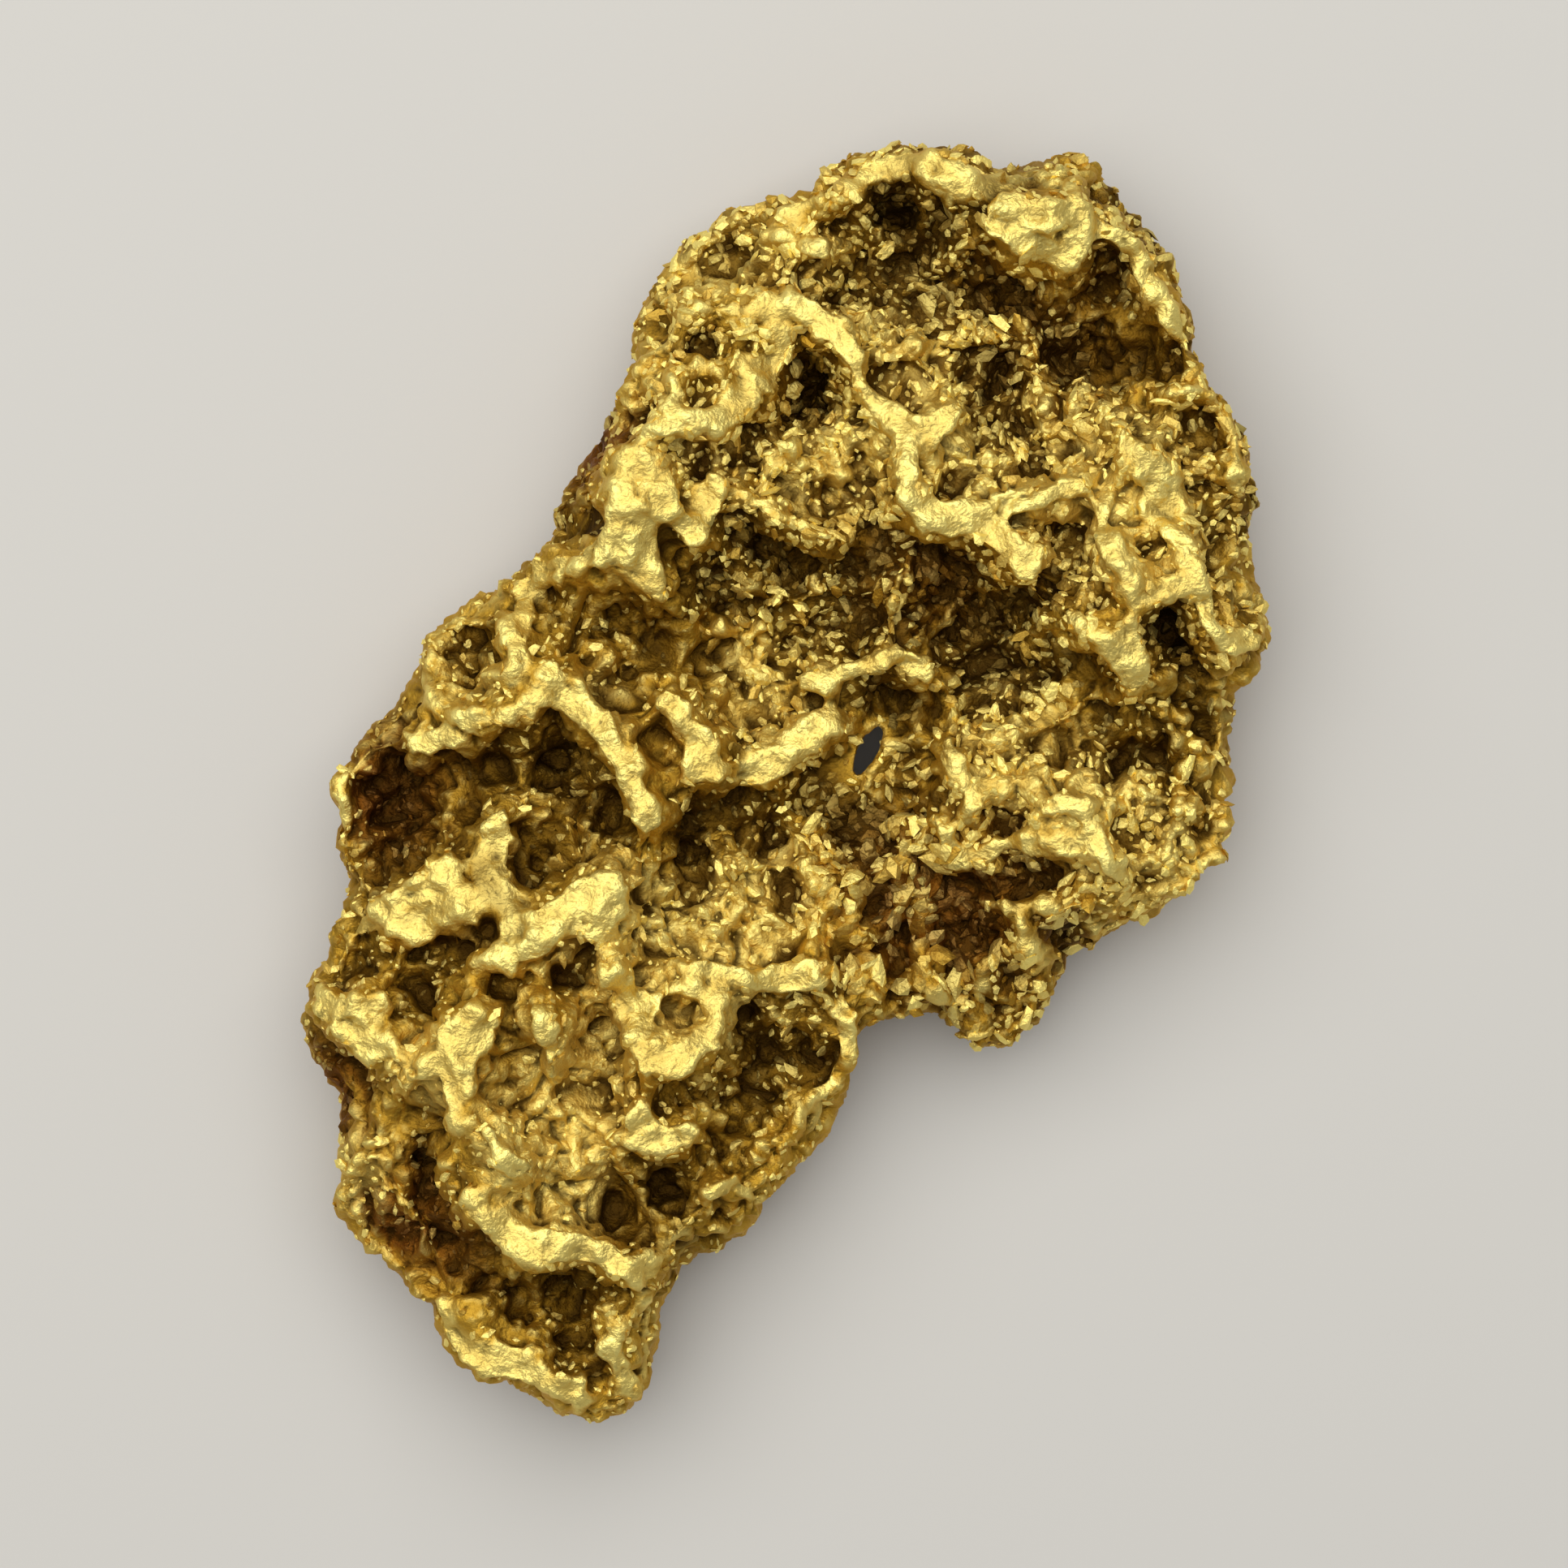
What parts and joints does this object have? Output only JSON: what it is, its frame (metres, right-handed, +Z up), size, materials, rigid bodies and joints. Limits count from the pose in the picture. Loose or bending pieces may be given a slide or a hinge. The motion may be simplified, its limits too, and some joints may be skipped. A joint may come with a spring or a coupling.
{
  "type": "gold nugget",
  "caption": "Natural gold nugget: a thick, waisted flake of solid metal, its face a net of worn ridges over rough hollows, pierced at the waist, lying on flat worn feet.",
  "frame": {"origin": "middle of the nugget's length and breadth, on the surface that it lies on", "axes": "+Z up out of the face, +Y along the nugget from its foot to its crown, +X across it to the side of the notch and spur"},
  "size_m": [0.0238, 0.0316, 0.0065],
  "materials": {
    "native_gold": "worn native gold: satin yellow on the ridges, matt, granular and stained brown with iron oxide in the hollows"
  },
  "bodies": {
    "root": {"gold_nugget": "native_gold"}
  },
  "joints": []
}
